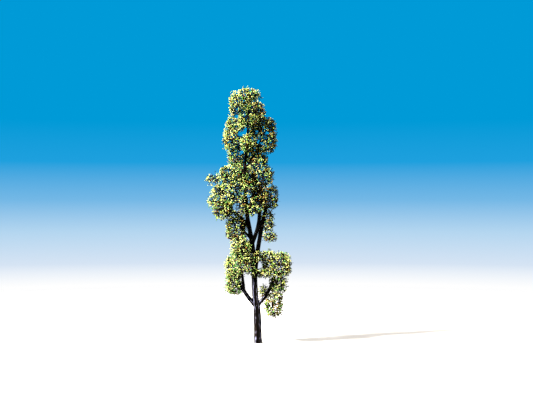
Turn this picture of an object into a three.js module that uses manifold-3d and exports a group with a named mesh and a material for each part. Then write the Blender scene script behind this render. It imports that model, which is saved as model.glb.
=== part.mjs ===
// Model Lombardy poplar for a scenic layout: a fluted moulded trunk, bent-out boughs and clumps of foam
// foliage. Millimetres, +Z up, +X to the right and +Y away from the viewer. The origin is the middle of the
// flat foot.
import * as THREE from "three";
import { mergeVertices } from "three/addons/utils/BufferGeometryUtils.js";
import Module from "manifold-3d";

const wasm = await Module();
wasm.setup();

const CLEARANCE = 0.3; // air left between two neighbouring solids
const CUT = CLEARANCE + 0.02; // growth of a limb that is cut out of its neighbour, with room for rounding

const BARK_COLOR = 0x4b403c;
const FOAM_COLORS = [0x8c8f3a, 0x77843a, 0x9a9440, 0x6c7034];

// The trunk from its flat foot to its tip: height, lean to the right, lean to the back, radius.
const TRUNK_STATIONS = [
  [0, 0, 0, 2.3],
  [7, -0.2, 0, 2.1],
  [20, -0.72, 0.1, 1.92],
  [27, -1.6, 0.2, 1.7],
  [37, -2.1, 0.3, 1.48],
  [48, -2.7, 0.3, 1.4],
  [58, -3.5, 0.1, 1.32],
  [66, -4.9, -0.2, 1.26],
  [76, -6.6, -0.3, 1.14],
  [90, -7.7, 0, 0.94],
  [104, -7.7, 0.4, 0.78],
  [118, -6.4, 0.3, 0.64],
  [132, -5.8, 0, 0.5],
  [142, -4.8, 0, 0.36],
];
const TRUNK_FLUTES = 5;
const SIDES_PER_FLUTE = 4;
const TRUNK_RINGS = 26;
const FLUTE_DEPTH = 0.08; // share of the radius; a groove faces the front

// Each bough leaves its parent's line at a height and heads out at an azimuth from +X towards +Y. It is an
// arc: over its length it turns from its first rise above the level to its last one. Both angles are in
// degrees. The radius tapers from root to tip.
const BOUGHS = {
  bough_left_low: { parent: "trunk", height: 21.7, azimuth: 180, rise: [42, 62],
    length: 13.6, radius: [1.25, 1.0] },
  bough_left_upright: { parent: "bough_left_low", height: 31.2, azimuth: 180, rise: [88, 79],
    length: 13, radius: [0.85, 0.6] },
  bough_left_outer: { parent: "bough_left_low", height: 31.6, azimuth: 182, rise: [50, 68],
    length: 14, radius: [0.8, 0.5] },
  bough_right_low: { parent: "trunk", height: 21.7, azimuth: 4, rise: [43, 80],
    length: 24, radius: [1.2, 0.75] },
  bough_left_mid: { parent: "trunk", height: 61.2, azimuth: 184, rise: [44, 54],
    length: 10.5, radius: [0.75, 0.5] },
  bough_left_wide: { parent: "trunk", height: 68, azimuth: 174, rise: [52, 32],
    length: 23, radius: [0.75, 0.4] },
  bough_right_mid: { parent: "trunk", height: 59, azimuth: 350, rise: [61, 93],
    length: 20, radius: [1.15, 1.0] },
  bough_right_long: { parent: "trunk", height: 38, azimuth: 10, rise: [85, 76],
    length: 43, radius: [1.3, 1.1] },
  bough_right_inner: { parent: "trunk", height: 74.5, azimuth: 344, rise: [70, 86],
    length: 19.5, radius: [0.6, 0.4] },
  bough_left_high: { parent: "trunk", height: 93.5, azimuth: 178, rise: [34, 2],
    length: 15, radius: [0.55, 0.35] },
  bough_right_high: { parent: "trunk", height: 102.5, azimuth: 6, rise: [50, 78],
    length: 24, radius: [0.52, 0.32] },
  bough_back: { parent: "trunk", height: 62.5, azimuth: 108, rise: [60, 84],
    length: 24, radius: [0.7, 0.45] },
};
const BOUGH_SIDES = 8;
const BOUGH_RINGS = 7;
const CUT_SIDES = 6; // the tube that clears a limb out of the foliage is simpler than the limb

// Each mass of foliage is held by its limb at its own height, or at the one given, or at the limb's nearer
// end. Its middle is offset from there to the right and to the back. Its half sizes are its reach to the
// side, in depth and upwards.
const MASSES = {
  crown_tip: { limb: "trunk", height: 145.6, offset: [-0.8, 0], half: [7.1, 6.6, 4.9] },
  crown_left: { limb: "trunk", height: 139.8, held: 138.5, offset: [-6.6, -0.6], half: [5.8, 7.6, 8.2] },
  crown_right: { limb: "trunk", height: 134.9, offset: [4.4, -2.8], half: [6.1, 6.8, 6.8] },
  crown_back: { limb: "trunk", height: 137.2, offset: [2.6, 7.2], half: [5.0, 6.2, 6.6] },
  crown_front: { limb: "trunk", height: 130.8, offset: [-1.2, -6.2], half: [5.2, 5.4, 5.2] },
  shoulder_left: { limb: "trunk", height: 128.4, held: 126.5, offset: [-7.5, 1.8], half: [6.2, 8.0, 5.5] },
  shoulder_right: { limb: "bough_right_high", height: 127.8, offset: [1.8, -0.4], half: [6.5, 7.4, 5.5] },
  shoulder_back: { limb: "trunk", height: 128.3, offset: [4.8, 8.2], half: [5.2, 6.0, 5.0] },
  upper_left: { limb: "trunk", height: 119.4, offset: [-8.4, -0.8], half: [6.5, 7.8, 7.6] },
  upper_inner: { limb: "trunk", height: 122, offset: [3.2, 1.4], half: [3.4, 5.4, 4.8] },
  upper_right: { limb: "bough_right_high", height: 119.0, offset: [2.8, -0.4], half: [7.2, 7.8, 8.3] },
  upper_front: { limb: "trunk", height: 117.2, offset: [0.2, -6.2], half: [4.9, 5.4, 5.8] },
  upper_back: { limb: "trunk", height: 112.5, held: 115.5, offset: [2.9, 8.2], half: [5.8, 6.4, 6.8] },
  waist_left: { limb: "trunk", height: 109.2, offset: [-5.5, 0.8], half: [5.4, 7.2, 7.2] },
  waist_right: { limb: "trunk", height: 106.0, offset: [7.6, -1.4], half: [6.2, 7.4, 6.2] },
  waist_front: { limb: "trunk", height: 100.6, offset: [-1.5, -6.8], half: [5.0, 5.6, 5.8] },
  arm_left: { limb: "bough_left_high", height: 98.7, held: 97.2, offset: [-1.9, 0.6],
    half: [6.1, 7.4, 6.5] },
  arm_left_tip: { limb: "bough_left_high", height: 96.4, held: 98.2, offset: [-3.9, 0],
    half: [5.7, 4.4, 3.3] },
  belly_left: { limb: "trunk", height: 92, offset: [-5.4, -0.8], half: [5.6, 6.6, 6.4] },
  belly_right: { limb: "bough_right_inner", height: 97.8, offset: [5.0, 0.4], half: [7.0, 7.8, 6.8] },
  belly_back: { limb: "trunk", height: 97.2, offset: [1.4, 8.4], half: [6.2, 6.4, 7.4] },
  belly_front: { limb: "trunk", height: 91.6, offset: [1.9, -6.4], half: [4.5, 5.2, 4.9] },
  wide_left_top: { limb: "bough_left_wide", height: 87.6, held: 82, offset: [0.5, -1.2],
    half: [8.9, 7.8, 6.8] },
  wide_left_low: { limb: "bough_left_wide", height: 78.7, offset: [-4.2, -4.0], half: [7.3, 7.2, 6.4] },
  wide_left_tip: { limb: "bough_left_wide", height: 83.0, offset: [-4.5, -1.4], half: [4.1, 4.6, 4.3] },
  wide_left_back: { limb: "bough_left_wide", height: 82.6, held: 82, offset: [1.4, 5.9],
    half: [6.0, 6.0, 7.4] },
  column_left: { limb: "trunk", height: 80.6, offset: [-3.9, -1.8], half: [4.6, 5.8, 8.2] },
  column_right: { limb: "trunk", height: 80, offset: [3.6, -3.2], half: [4.0, 4.6, 5.8] },
  column_back: { limb: "bough_back", height: 86.2, offset: [6.8, 0.6], half: [5.4, 6.0, 7.6] },
  middle_right: { limb: "bough_right_mid", height: 84.2, offset: [0.6, -1.6], half: [5.3, 6.8, 8.4] },
  edge_right: { limb: "bough_right_long", height: 85.4, offset: [3.1, -1.2], half: [4.3, 6.8, 7.6] },
  edge_right_low: { limb: "bough_right_long", height: 71.4, offset: [2.5, -1.2], half: [4.4, 5.4, 7.8] },
  edge_right_drop: { limb: "bough_right_long", height: 62.4, offset: [6.0, -0.8], half: [4.5, 4.6, 3.8] },
  middle_left: { limb: "bough_left_mid", height: 67.2, offset: [-3.4, 1.0], half: [6.5, 8.4, 8.3] },
  skirt_left: { limb: "trunk", height: 55.6, offset: [-6.9, -4.6], half: [6.4, 6.8, 7.3] },
  skirt_front: { limb: "trunk", height: 46.8, offset: [-4.5, -6.2], half: [6.4, 6.2, 6.3] },
  skirt_inner: { limb: "trunk", height: 50.8, offset: [2.5, -5.2], half: [3.9, 4.8, 3.6] },
  skirt_back: { limb: "trunk", height: 53, offset: [-5.6, 7.0], half: [5.8, 6.6, 7.6] },
  bridge_front: { limb: "trunk", height: 41.4, offset: [3.8, -6.0], half: [7.4, 4.8, 3.0] },
  low_right_inner: { limb: "trunk", height: 48.2, offset: [8.4, 1.6], half: [4.7, 8.2, 7.0] },
  low_right_outer: { limb: "bough_right_low", height: 45.8, offset: [2.3, -1.2], half: [7.3, 8.0, 8.0] },
  hang_right_top: { limb: "bough_right_low", height: 34.3, offset: [3.6, -1.0], half: [5.7, 6.2, 5.8] },
  hang_right_low: { limb: "bough_right_low", height: 23.8, held: 26.5, offset: [5.7, -0.6],
    half: [6.2, 6.2, 9.2] },
  tuft_right: { limb: "bough_right_low", height: 30.2, offset: [-2.7, -1.6], half: [3.4, 3.6, 4.6] },
  low_left_top: { limb: "bough_left_outer", height: 46.2, offset: [-0.1, 0], half: [3.9, 5.6, 5.3] },
  low_left_middle: { limb: "bough_left_outer", height: 40.0, offset: [0.3, -1.4], half: [5.4, 6.4, 5.3] },
  low_left_low: { limb: "bough_left_outer", height: 33.0, offset: [-3.9, -0.6], half: [6.0, 6.2, 5.1] },
};
const SQUARENESS = 2.6; // 2 makes a mass an ellipsoid and more makes it boxier, so neighbours close up
const CORE_SHARE = [0.86, 0.98]; // least and most reach of a core's corners, against the whole mass
const SPRAY_SHARE = 0.34; // a spray's radius against its mass's mean half size
const SPRAY_SPREAD = [0.8, 1]; // least and most size of a spray, against that radius
const SPRAY_REACH = [0.88, 0.98]; // the same for how far it stands out, against the mass's reach that way
const LEAST_SHOWING = 0.5; // share of a spray's radius that has to stand out of the core
const LOOSE_SHARE = 0.14; // how many of the sprays stand off on a bare twig
const LOOSE_SIZE = 0.6;
const TWIG_RADIUS = 0.28;
const TWIG_TAPER = 0.7;
const STEM_RADIUS = 0.45;
const REACH_OF_STEMS = 4; // masses that are further apart than this need no plane between them
const FIRST_SEED = 17;
const SEED_STEP = 7919;

const WELD = 1e-4; // points nearer than this are one
const LIMB_STEPS = 24; // where a limb's line is tried for nearness

// One seeded stream of numbers from 0 to 1, the same on every run.
function seeded(seed) {
  let state = seed >>> 0;
  return () => {
    state = (Math.imul(state, 1664525) + 1013904223) >>> 0;
    return state / 4294967296;
  };
}

// A column of the trunk's stations at a height, as a smooth curve through them.
function trunkValue(height, column) {
  const last = TRUNK_STATIONS.length - 1;
  let i = 0;
  while (i < last - 1 && TRUNK_STATIONS[i + 1][0] < height) i++;
  const slope = (k) => {
    const before = TRUNK_STATIONS[Math.max(k - 1, 0)];
    const after = TRUNK_STATIONS[Math.min(k + 1, last)];
    return (after[column] - before[column]) / (after[0] - before[0]);
  };
  const span = TRUNK_STATIONS[i + 1][0] - TRUNK_STATIONS[i][0];
  const t = (height - TRUNK_STATIONS[i][0]) / span;
  const bulge = t * (1 - t) * span * ((1 - t) * slope(i) - t * slope(i + 1));
  const ease = t * t * (3 - 2 * t);
  return THREE.MathUtils.lerp(TRUNK_STATIONS[i][column], TRUNK_STATIONS[i + 1][column], ease) + bulge;
}

function trunkLimb() {
  const top = TRUNK_STATIONS.at(-1)[0];
  return {
    name: "trunk",
    bottom: 0,
    top,
    flutes: TRUNK_FLUTES,
    rings: TRUNK_RINGS,
    shareAtHeight: (height) => height / top,
    pointAt: (share) => {
      const height = share * top;
      return new THREE.Vector3(trunkValue(height, 1), trunkValue(height, 2), height);
    },
    radiusAt: (share) => trunkValue(share * top, 3),
    headingAt: () => new THREE.Vector3(0, 0, 1),
  };
}

function boughLimb(name, { parent, height, azimuth, rise, length, radius }, limbs) {
  const from = limbs[parent];
  const start = from.pointAt(from.shareAtHeight(height));
  const [first, last] = rise.map(THREE.MathUtils.degToRad);
  const turn = THREE.MathUtils.degToRad(azimuth);
  const out = new THREE.Vector3(Math.cos(turn), Math.sin(turn), 0);
  const bend = length / (last - first);
  const riseAt = (share) => THREE.MathUtils.lerp(first, last, share);
  const pointAt = (share) =>
    start
      .clone()
      .addScaledVector(out, bend * (Math.sin(riseAt(share)) - Math.sin(first)))
      .add(new THREE.Vector3(0, 0, bend * (Math.cos(first) - Math.cos(riseAt(share)))));
  return {
    name,
    bottom: start.z,
    top: pointAt(1).z,
    flutes: 0,
    rings: BOUGH_RINGS,
    shareAtHeight: (level) => {
      const riseThere = Math.acos(Math.cos(first) - (level - start.z) / bend);
      return (riseThere - first) / (last - first);
    },
    pointAt,
    radiusAt: (share) => THREE.MathUtils.lerp(radius[0], radius[1], share),
    headingAt: (share) => out.clone().multiplyScalar(Math.cos(riseAt(share))).setZ(Math.sin(riseAt(share))),
  };
}

// A closed geometry as a solid. Only its positions count, so seams are merged.
function solidFrom(geometry) {
  const bare = geometry.clone();
  bare.deleteAttribute("normal");
  bare.deleteAttribute("uv");
  const merged = mergeVertices(bare, WELD);
  const mesh = new wasm.Mesh({
    numProp: 3,
    vertProperties: merged.attributes.position.array,
    triVerts: new Uint32Array(merged.index.array),
  });
  return new wasm.Manifold(mesh);
}

// The largest of the bodies in a solid: a cut can leave loose scraps.
function largestBody(solid) {
  return solid.decompose().reduce((a, b) => (b.volume() > a.volume() ? b : a));
}

function meshFrom(name, solid, material) {
  const { numProp, vertProperties, triVerts } = solid.getMesh();
  const points = new Float32Array((vertProperties.length / numProp) * 3);
  for (let i = 0; i < points.length / 3; i++)
    points.set(vertProperties.subarray(i * numProp, i * numProp + 3), i * 3);
  const geometry = new THREE.BufferGeometry()
    .setAttribute("position", new THREE.BufferAttribute(points, 3))
    .setIndex(new THREE.BufferAttribute(triVerts, 1));
  geometry.computeVertexNormals();
  const mesh = new THREE.Mesh(geometry, material);
  mesh.name = name;
  return mesh;
}

// A closed tapering tube round a limb's line: an upright cylinder with its rings moved.
function limbSolid(limb) {
  const sides = limb.flutes ? limb.flutes * SIDES_PER_FLUTE : BOUGH_SIDES;
  return tubeSolid(limb, sides, limb.rings, limb.flutes, 0);
}

// The same tube with few flat sides, each of them a clearance away from the limb.
function limbCutter(limb) {
  return tubeSolid(limb, CUT_SIDES, Math.ceil(limb.rings / 2), 0, CUT);
}

function tubeSolid(limb, sides, rings, flutes, extra) {
  const geometry = new THREE.CylinderGeometry(1, 1, 1, sides, rings);
  const position = geometry.attributes.position;
  const widest = extra ? (1 + (limb.flutes ? FLUTE_DEPTH : 0)) / Math.cos(Math.PI / sides) : 1;
  for (let i = 0; i < position.count; i++) {
    const share = THREE.MathUtils.clamp(position.getY(i) + 0.5, 0, 1);
    const heading = limb.headingAt(share);
    const right = new THREE.Vector3(0, 1, 0).cross(heading).normalize();
    const back = right.clone().cross(heading);
    const across = new THREE.Vector2(position.getX(i), position.getZ(i));
    const flute = flutes ? 1 - FLUTE_DEPTH * Math.cos(flutes * Math.atan2(across.x, across.y)) : 1;
    const reach = limb.radiusAt(share) * flute * widest + extra / Math.cos(Math.PI / sides);
    const point = limb.pointAt(share);
    point.addScaledVector(right, across.x * reach).addScaledVector(back, across.y * reach);
    if (share === 1) point.addScaledVector(heading, extra);
    position.setXYZ(i, point.x, point.y, point.z);
  }
  return solidFrom(geometry);
}

// A three-sided tapering twig between two points.
function twigSolid(from, to, rootRadius, tipRadius) {
  const geometry = new THREE.CylinderGeometry(tipRadius, rootRadius, from.distanceTo(to), 3, 1);
  const along = to.clone().sub(from).normalize();
  geometry.applyQuaternion(new THREE.Quaternion().setFromUnitVectors(new THREE.Vector3(0, 1, 0), along));
  const middle = from.clone().lerp(to, 0.5);
  geometry.translate(middle.x, middle.y, middle.z);
  return solidFrom(geometry);
}

// The space of a mass is a rounded box, less what lies past the planes that part it from its neighbours.
function massSpace(name, { limb, height, held = height, offset, half }, index, limbs) {
  const carrier = limbs[limb];
  const onLimb = (level) => {
    const within = THREE.MathUtils.clamp(level, carrier.bottom, carrier.top);
    return carrier.pointAt(carrier.shareAtHeight(within));
  };
  const middle = onLimb(held).setZ(height).add(new THREE.Vector3(...offset, 0));
  return { name, index, carrier, held: onLimb(held), middle, half: new THREE.Vector3(...half), planes: [] };
}

// Each pair of near masses is parted by a plane between their middles, placed by how far each one reaches.
function partSpaces(spaces) {
  for (const a of spaces)
    for (const b of spaces) {
      if (a === b) continue;
      const between = b.middle.clone().sub(a.middle);
      const distance = between.length();
      const direction = between.divideScalar(distance);
      const reachA = direction.clone().multiply(a.half).length();
      const reachB = direction.clone().multiply(b.half).length();
      if (reachA + reachB < distance - REACH_OF_STEMS) continue;
      const limit = (distance * reachA) / (reachA + reachB) - CLEARANCE / 2;
      const stemLimit = Math.max(limit, distance - reachB - CLEARANCE);
      a.planes.push({ direction, limit, stemLimit, neighbour: b });
    }
}

// How far a mass reaches from its middle along a unit ray.
function reachAlong(space, unit) {
  const shares = unit.clone().divide(space.half).toArray();
  const sum = shares.reduce((total, share) => total + Math.abs(share) ** SQUARENESS, 0);
  return sum ** (-1 / SQUARENESS);
}

// How far a ball may go from the middle along a unit ray before it passes one of the parting planes.
function limitAlong(space, unit, radius, kind = "limit") {
  let along = Infinity;
  for (const plane of space.planes) {
    const part = unit.dot(plane.direction);
    if (part > 0) along = Math.min(along, (plane[kind] - radius) / part);
  }
  return along;
}

// A closed core of twenty faces, turned and dented by the seeded stream, that stops at the parting planes.
function coreShape(space, random) {
  const geometry = new THREE.IcosahedronGeometry(1, 0);
  geometry.rotateX(random() * Math.PI);
  geometry.rotateZ(random() * Math.PI);
  geometry.deleteAttribute("normal");
  geometry.deleteAttribute("uv");
  const shape = mergeVertices(geometry, WELD);
  const position = shape.attributes.position;
  for (let i = 0; i < position.count; i++) {
    const unit = new THREE.Vector3().fromBufferAttribute(position, i).multiply(space.half).normalize();
    const wanted = reachAlong(space, unit) * THREE.MathUtils.lerp(...CORE_SHARE, random());
    const point = space.middle.clone().addScaledVector(unit, Math.min(wanted, limitAlong(space, unit, 0)));
    position.setXYZ(i, point.x, point.y, point.z);
  }
  return shape;
}

// The least distance from a point to a limb's surface.
function distanceToLimb(limb, point) {
  let least = Infinity;
  for (let i = 0; i <= LIMB_STEPS; i++) {
    const share = i / LIMB_STEPS;
    least = Math.min(least, limb.pointAt(share).distanceTo(point) - limb.radiusAt(share));
  }
  return least;
}

// One spray grows through each face of the core. One that would pass a parting plane draws in, and one that
// would be lost in the core or touch a limb is left out.
function sprayPlaces(space, core, random, limbs) {
  const corners = core.attributes.position;
  const corner = (k) => new THREE.Vector3().fromBufferAttribute(corners, core.index.getX(k));
  const mean = Math.cbrt(space.half.x * space.half.y * space.half.z);
  const places = [];
  for (let i = 0; i < core.index.count; i += 3) {
    const loose = random() < LOOSE_SHARE;
    const spread = THREE.MathUtils.lerp(...SPRAY_SPREAD, random());
    const size = SPRAY_SHARE * mean * spread * (loose ? LOOSE_SIZE : 1);
    const share = loose ? 1 : THREE.MathUtils.lerp(...SPRAY_REACH, random());
    const tilt = random() * Math.PI;
    const out = corner(i).add(corner(i + 1)).add(corner(i + 2)).divideScalar(3).sub(space.middle);
    const depth = out.length();
    const unit = out.divideScalar(depth);
    const along = Math.min(reachAlong(space, unit) * share - size, limitAlong(space, unit, size));
    if (along + size * LEAST_SHOWING < depth) continue;
    const point = space.middle.clone().addScaledVector(unit, along);
    if (Object.values(limbs).some((limb) => distanceToLimb(limb, point) < size + CUT)) continue;
    places.push({ point, unit, size, tilt });
  }
  return places;
}

// A spray as a crumb of eight faces with one corner outwards.
function spraySolid({ point, unit, size, tilt }) {
  const geometry = new THREE.OctahedronGeometry(size, 0);
  geometry.rotateZ(tilt);
  geometry.applyQuaternion(new THREE.Quaternion().setFromUnitVectors(new THREE.Vector3(0, 0, 1), unit));
  geometry.translate(point.x, point.y, point.z);
  return solidFrom(geometry);
}

// The stem runs from the middle towards the limb, no further than the mass's own space allows.
function stemSolid(space) {
  const towards = space.held.clone().sub(space.middle);
  const whole = towards.length();
  const unit = towards.divideScalar(whole);
  const along = Math.min(whole, limitAlong(space, unit, STEM_RADIUS, "stemLimit"));
  const root = space.middle.clone().addScaledVector(unit, along);
  return twigSolid(root, space.middle, STEM_RADIUS, TWIG_RADIUS);
}

function massSolid(space, limbs, grown) {
  const random = seeded(FIRST_SEED + space.index * SEED_STEP);
  const core = coreShape(space, random);
  let solid = solidFrom(core).add(stemSolid(space));
  for (const place of sprayPlaces(space, core, random, limbs)) {
    solid = solid.add(twigSolid(space.middle, place.point, TWIG_RADIUS, TWIG_RADIUS * TWIG_TAPER));
    solid = solid.add(spraySolid(place));
  }
  for (const limb of Object.values(grown)) solid = solid.subtract(limb);
  return largestBody(solid);
}

const limbs = { trunk: trunkLimb() };
for (const [name, sizes] of Object.entries(BOUGHS)) limbs[name] = boughLimb(name, sizes, limbs);
const spaces = Object.entries(MASSES).map(([name, sizes], index) => massSpace(name, sizes, index, limbs));
partSpaces(spaces);

const bark = new THREE.MeshStandardMaterial({ color: BARK_COLOR, roughness: 0.7, metalness: 0 });
const foams = FOAM_COLORS.map(
  (color) => new THREE.MeshStandardMaterial({ color, roughness: 0.95, metalness: 0 }),
);
const tree = new THREE.Group();
const grown = {};
for (const limb of Object.values(limbs)) {
  let solid = limbSolid(limb);
  for (const other of Object.values(grown)) solid = solid.subtract(other);
  tree.add(meshFrom(limb.name, largestBody(solid), bark));
  grown[limb.name] = limbCutter(limb);
}
for (const space of spaces)
  tree.add(meshFrom(space.name, massSolid(space, limbs, grown), foams[space.index % foams.length]));

export default tree;
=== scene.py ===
import math

import bpy
import numpy as np
from mathutils import Matrix, Vector, kdtree, noise


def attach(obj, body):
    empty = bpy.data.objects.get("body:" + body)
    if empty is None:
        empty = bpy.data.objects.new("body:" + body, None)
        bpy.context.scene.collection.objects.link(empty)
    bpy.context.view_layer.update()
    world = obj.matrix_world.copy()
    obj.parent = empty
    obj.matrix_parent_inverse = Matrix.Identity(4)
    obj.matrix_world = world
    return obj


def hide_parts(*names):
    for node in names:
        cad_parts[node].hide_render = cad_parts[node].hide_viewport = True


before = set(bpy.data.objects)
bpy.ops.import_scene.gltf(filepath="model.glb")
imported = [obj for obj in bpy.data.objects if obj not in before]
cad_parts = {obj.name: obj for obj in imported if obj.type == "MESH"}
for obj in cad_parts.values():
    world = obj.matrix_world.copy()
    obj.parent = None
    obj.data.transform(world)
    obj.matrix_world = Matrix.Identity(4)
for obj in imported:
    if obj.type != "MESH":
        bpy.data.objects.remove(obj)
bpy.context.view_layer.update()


# Trunk
# The real trunk is one tapering piece of grey-brown plastic. It is moulded with wandering flutes that run
# from the flat foot to the tip. It is drawn darker down in the flutes, and its worn ridges carry a painted
# bluish highlight. It stands on its own flat foot.

MM = 0.001  # sizes are in millimetres, as in the part's source, and meshes are in metres

# Height, lean to the right, lean to the back and radius.
TRUNK_STATIONS = [
    (0, 0, 0, 2.3),
    (7, -0.2, 0, 2.1),
    (20, -0.72, 0.1, 1.92),
    (27, -1.6, 0.2, 1.7),
    (37, -2.1, 0.3, 1.48),
    (48, -2.7, 0.3, 1.4),
    (58, -3.5, 0.1, 1.32),
    (66, -4.9, -0.2, 1.26),
    (76, -6.6, -0.3, 1.14),
    (90, -7.7, 0, 0.94),
    (104, -7.7, 0.4, 0.78),
    (118, -6.4, 0.3, 0.64),
    (132, -5.8, 0, 0.5),
    (142, -4.8, 0, 0.36),
]
TRUNK_TOP = TRUNK_STATIONS[-1][0]
TRUNK_SIDES = 84
TRUNK_FLUTE_DEPTH = 0.3  # share of the radius
RING_STEP = 0.3  # from one ring of points to the next

# The flutes drift round a limb, fork and join, with fine lines between them. A pitch is how fast a pattern
# changes with the length.
FLUTES = 5
DRIFT, DRIFT_PITCH, DRIFT_PHASE = 0.55, 0.075, 5
DRIFT_START = 20  # the length over which the drift sets in
FORK, FORK_PITCH, FORK_BY_PLACE, FORK_BY_TURN = 0.9, 0.11, 0.35, 1.2
FLUTE_SHARE, FLUTE_SHARPNESS = 0.8, 1.4  # of a groove's depth, and how narrow the grooves are
LINES_TO_A_FLUTE, LINE_DRIFT, LINE_PITCH, LINE_SHARE = 3, 5, 0.16, 0.2
MEAN_GROOVE = 0.46  # takes the flutes' mean depth off again, so that the radius holds
CHIP, CHIP_ROUND, CHIP_PITCH = 0.035, 2.3, 0.5  # small dents, as a share of the radius
CHIP_STAIN = 0.25
CROWN_PAINTED_SHADE, CROWN_FROM, CROWN_OVER = 0.27, 42, 30  # painted shade on the limbs inside the crown, from this height over this
COLLAR_FADE = 1.6  # the length over which the collar at a bough's root dies out


def lerp(a, b, share):
    return a + (b - a) * share


def trunk_value(height, column):
    """A column of the stations at a height, as a smooth curve through them."""
    last = len(TRUNK_STATIONS) - 1
    i = 0
    while i < last - 1 and TRUNK_STATIONS[i + 1][0] < height:
        i += 1

    def slope(k):
        before, after = TRUNK_STATIONS[max(k - 1, 0)], TRUNK_STATIONS[min(k + 1, last)]
        return (after[column] - before[column]) / (after[0] - before[0])

    low, high = TRUNK_STATIONS[i], TRUNK_STATIONS[i + 1]
    span = high[0] - low[0]
    t = (height - low[0]) / span
    bulge = t * (1 - t) * span * ((1 - t) * slope(i) - t * slope(i + 1))
    return lerp(low[column], high[column], t * t * (3 - 2 * t)) + bulge


class Trunk:
    """The trunk's middle line, which climbs from station to station."""

    bottom, top, length = 0, TRUNK_TOP, TRUNK_TOP

    def share_at_height(self, height):
        return height / TRUNK_TOP

    def point_at(self, share):
        height = share * TRUNK_TOP
        return Vector((trunk_value(height, 1), trunk_value(height, 2), height))

    def radius_at(self, share):
        return trunk_value(share * TRUNK_TOP, 3)

    def heading_at(self, share):
        return Vector((0, 0, 1))


def roughness(x, y, z):
    return noise.noise(Vector((x, y, z)))


def fluted_tube(limb, flute_depth, sides, collar, groove_in_front):
    """Points, faces and groove depths (0 on a ridge, 1 in a groove, with painted shade added inside the
    crown) of a closed tube with moulded flutes.
    """
    rings = round(limb.length / RING_STEP)
    half_wave = 0.5 if groove_in_front else -0.5
    points, grooves = [], []
    for ring in range(rings + 1):
        share = ring / rings
        centre, heading = limb.point_at(share), limb.heading_at(share)
        right = Vector((0, 1, 0)).cross(heading).normalized()
        front = right.cross(heading)
        along = share * limb.length
        radius = limb.radius_at(share) * (1 + collar * math.exp(-along / COLLAR_FADE))
        crown = min(1, max(0, (centre.z - CROWN_FROM) / CROWN_OVER))
        for side in range(sides):
            turn = side / sides * math.tau
            unit = math.sin(turn) * right + math.cos(turn) * front
            place = centre * FORK_BY_PLACE + unit * FORK_BY_TURN
            drift = DRIFT * roughness(0, 0, along * DRIFT_PITCH + DRIFT_PHASE) * min(1, along / DRIFT_START)
            fork = FORK * roughness(place.x, place.y, along * FORK_PITCH)
            wave = 0.5 + half_wave * math.cos(FLUTES * (turn + drift) + fork)
            line_drift = LINE_DRIFT * roughness(unit.x, unit.y, along * LINE_PITCH)
            line = 0.5 + 0.5 * math.cos(LINES_TO_A_FLUTE * FLUTES * turn + line_drift)
            groove = FLUTE_SHARE * wave**FLUTE_SHARPNESS + LINE_SHARE * line**2
            chip = roughness(unit.x * CHIP_ROUND, unit.y * CHIP_ROUND, along * CHIP_PITCH)
            reach = radius * (1 + flute_depth * (MEAN_GROOVE - groove) + CHIP * chip)
            points.append((centre + unit * reach) * MM)
            # Painted shade: on top of the groove depth, the colour darkens with the height inside the crown.
            grooves.append(min(1, max(0, groove + CHIP_STAIN * chip + CROWN_PAINTED_SHADE * crown)))
    faces = []
    for ring in range(rings):
        for side in range(sides):
            a, b = ring * sides + side, ring * sides + (side + 1) % sides
            faces.append((a, b, b + sides, a + sides))
    for ring, order in ((0, -1), (rings, 1)):  # the caps at both ends
        points.append(limb.point_at(ring / rings) * MM)
        grooves.append(0.5)
        for side in range(sides):
            edge = (ring * sides + side, ring * sides + (side + 1) % sides)[::order]
            faces.append((len(points) - 1, *edge))
    return points, faces, grooves


def tube_piece(name, tubes, material):
    """One mesh of several tubes, with their groove depths and painted shade as an attribute for the bark's
    colour.
    """
    points, faces, grooves = [], [], []
    for tube_points, tube_faces, tube_grooves in tubes:
        faces += [tuple(corner + len(points) for corner in face) for face in tube_faces]
        points += tube_points
        grooves += tube_grooves
    mesh = bpy.data.meshes.new(name)
    mesh.from_pydata(points, [], faces)
    mesh.attributes.new("groove", "FLOAT", "POINT").data.foreach_set("value", grooves)
    mesh.shade_smooth()
    mesh.materials.append(material)
    piece = bpy.data.objects.new(name, mesh)
    bpy.context.scene.collection.objects.link(piece)
    return piece


def linear_color(color):
    """A colour in screen values from 0 to 255, as a shader takes it."""
    channels = [value / 255 for value in color]
    return (*[c / 12.92 if c <= 0.04045 else ((c + 0.055) / 1.055) ** 2.4 for c in channels], 1)


def plain_material(name, color, dullness, specular=0.15):
    """A Principled material with its base colour in screen values."""
    material = bpy.data.materials.new(name)
    material.use_nodes = True
    shader = material.node_tree.nodes["Principled BSDF"]
    shader.inputs["Base Color"].default_value = linear_color(color)
    shader.inputs["Roughness"].default_value = dullness
    shader.inputs["Specular IOR Level"].default_value = specular
    return material


def fill_ramp(ramp, fade):
    """Gives a color ramp its stops, each with a position and a colour in screen values."""
    stops = ramp.color_ramp.elements
    for number, (position, color) in enumerate(fade):
        stop = stops[number] if number < 2 else stops.new(position)
        stop.position, stop.color = position, linear_color(color)


# How deep in a groove with its grain, and colour: a ridge lighter from wear with a painted bluish highlight,
# the plastic, and near black down in the grooves.
BARK_FADE = [
    (0.28, (146, 148, 180)),
    (0.42, (36, 24, 18)),
    (0.62, (5, 3, 2)),
]
GRAIN_SCALE = (900, 900, 110)  # fine across a limb and long up it
GRAIN_SHARE = 0.55


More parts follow.
